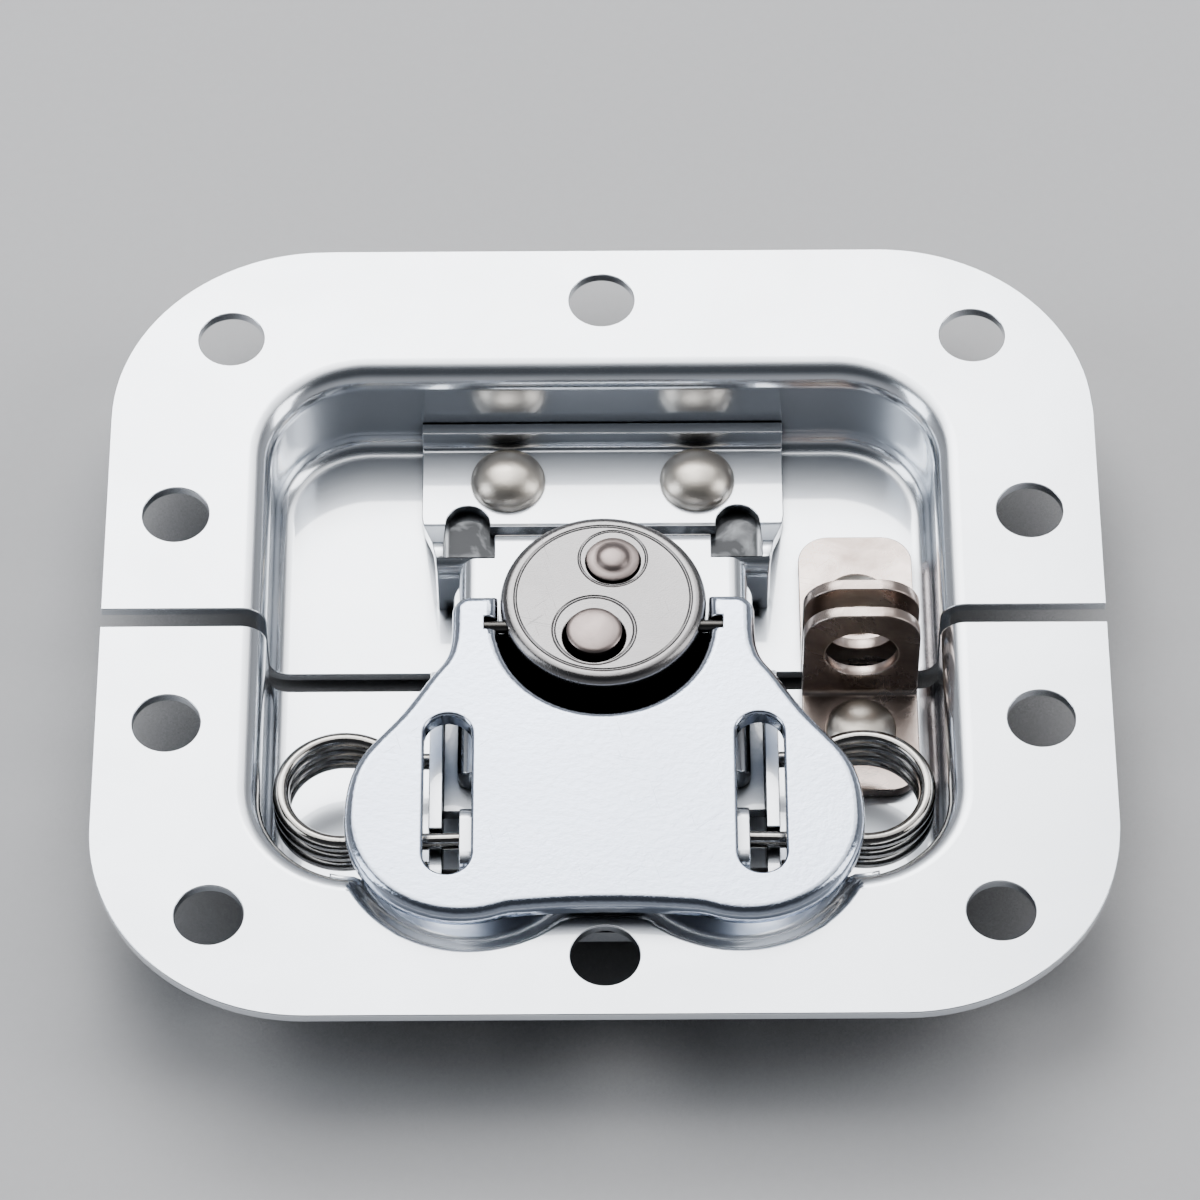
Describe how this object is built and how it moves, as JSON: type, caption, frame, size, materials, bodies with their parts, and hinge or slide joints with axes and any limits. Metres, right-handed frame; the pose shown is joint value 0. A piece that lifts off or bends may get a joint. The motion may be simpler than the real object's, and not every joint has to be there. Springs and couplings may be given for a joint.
{
  "type": "butterfly case latch",
  "caption": "Recessed butterfly latch for a flight case: two pressed dishes meet at a split, a folding turn wing draws a hook behind a keeper, and two ears take a padlock.",
  "frame": {"origin": "under the middle of the split between the two halves, level with the tails of the floor rivets, which are the lowest points", "axes": "+Z out of the case wall, +Y from the latch half to the keeper half, +X towards the padlock ears"},
  "size_m": [0.112, 0.104, 0.0198],
  "materials": {
    "zinc_sheet": "bright zinc-plated pressed steel",
    "zinc_wing": "bright zinc-plated steel with a slight orange peel",
    "satin_disc": "satin plated steel with fine scratches",
    "nickel_rivet": "nickel-plated rivet, slightly warm",
    "nickel_hasp": "nickel-plated bracket, warm brown-grey",
    "spring_wire": "polished spring steel wire",
    "steel_pin": "plain turned steel"
  },
  "bodies": {
    "latch_half": {"lower_dish": "zinc_sheet", "lower_hasp": "nickel_hasp", "lower_hasp_rivet": "nickel_rivet", "base_bracket": "zinc_sheet", "base_rivet_left": "nickel_rivet", "base_rivet_right": "nickel_rivet", "hinge_pin": "steel_pin"},
    "keeper_half": {"upper_dish": "zinc_sheet", "keeper": "zinc_sheet", "keeper_rivet_left": "nickel_rivet", "keeper_rivet_right": "nickel_rivet", "upper_hasp": "nickel_hasp", "upper_hasp_rivet": "nickel_rivet"},
    "lift_arm": {"carrier": "zinc_sheet", "spring_left": "spring_wire", "spring_right": "spring_wire"},
    "draw_hook": {"hook_plate": "zinc_sheet"},
    "rotor": {"cam_disc": "satin_disc", "rotor_plate": "steel_pin", "pivot_rivet": "nickel_rivet", "crank_rivet": "nickel_rivet", "wing_pin_left": "steel_pin", "wing_pin_right": "steel_pin"},
    "wing": {"butterfly_wing": "zinc_wing"}
  },
  "joints": [
    {"name": "mechanism_lift", "type": "hinge", "parent": "latch_half", "child": "lift_arm", "pos_m": [0, -0.0308, 0.0084], "axis": [1, 0, 0], "range_deg": [0, 25]},
    {"name": "wing_turn", "type": "hinge", "parent": "lift_arm", "child": "rotor", "pos_m": [0.0011, 0.005, 0.0154], "axis": [0, 0, 1], "range_deg": [0, 180]},
    {"name": "wing_fold", "type": "hinge", "parent": "rotor", "child": "wing", "pos_m": [0, -0.0034, 0.01795], "axis": [-1, 0, 0], "range_deg": [0, 90]},
    {"name": "hook_draw", "type": "slide", "parent": "lift_arm", "child": "draw_hook", "axis": [0, 1, 0], "range_m": [0, 0.0195]},
    {"name": "lid_part", "type": "slide", "parent": "latch_half", "child": "keeper_half", "axis": [0, 1, 0], "range_m": [0, 0.0195]}
  ],
  "couplings": [
    {"joint": "mechanism_lift", "follows": "wing_turn", "ratio": 0.1388},
    {"joint": "hook_draw", "follows": "wing_turn", "m_per_rad": 0.006175},
    {"joint": "lid_part", "follows": "wing_turn", "m_per_rad": 0.006175}
  ]
}
